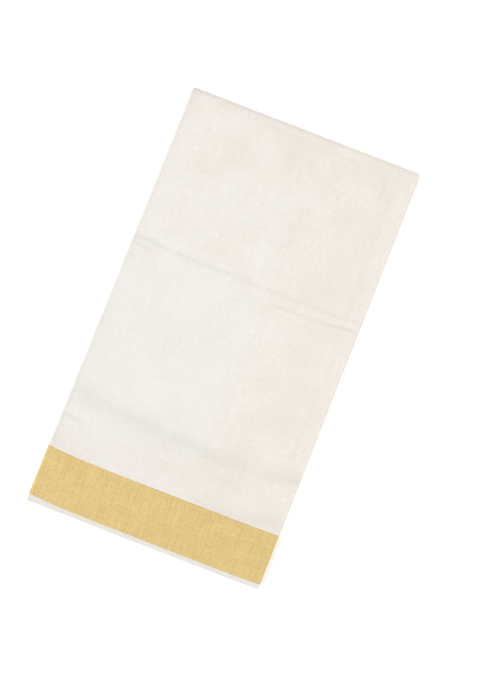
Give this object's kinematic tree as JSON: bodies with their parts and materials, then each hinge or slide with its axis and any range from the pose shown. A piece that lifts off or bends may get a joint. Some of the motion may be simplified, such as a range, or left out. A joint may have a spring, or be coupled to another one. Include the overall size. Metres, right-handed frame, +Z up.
{
  "type": "folded cotton saree",
  "caption": "Plain off-white cotton saree with a woven gold border, folded flat into a thin oblong pack with one round folded end.",
  "frame": {"origin": "on the surface that the pack lies on, under the middle of its bounding box", "axes": "+Y from the selvedge end with the gold border to the round fold, +X to the right across the pack, +Z up through its layers"},
  "size_m": [0.33, 0.5882, 0.0129],
  "materials": {
    "cotton": "plain woven off-white cotton, matte",
    "gold_border": "flat-woven gold thread, soft satin",
    "selvedge": "dense woven cream cotton edge, matte"
  },
  "bodies": {
    "root": {"top_field": "cotton", "top_border": "gold_border", "top_selvedge": "selvedge", "turn": "cotton", "under_field": "cotton", "under_border": "gold_border", "under_selvedge": "selvedge", "inner_layers": "cotton"}
  },
  "joints": []
}
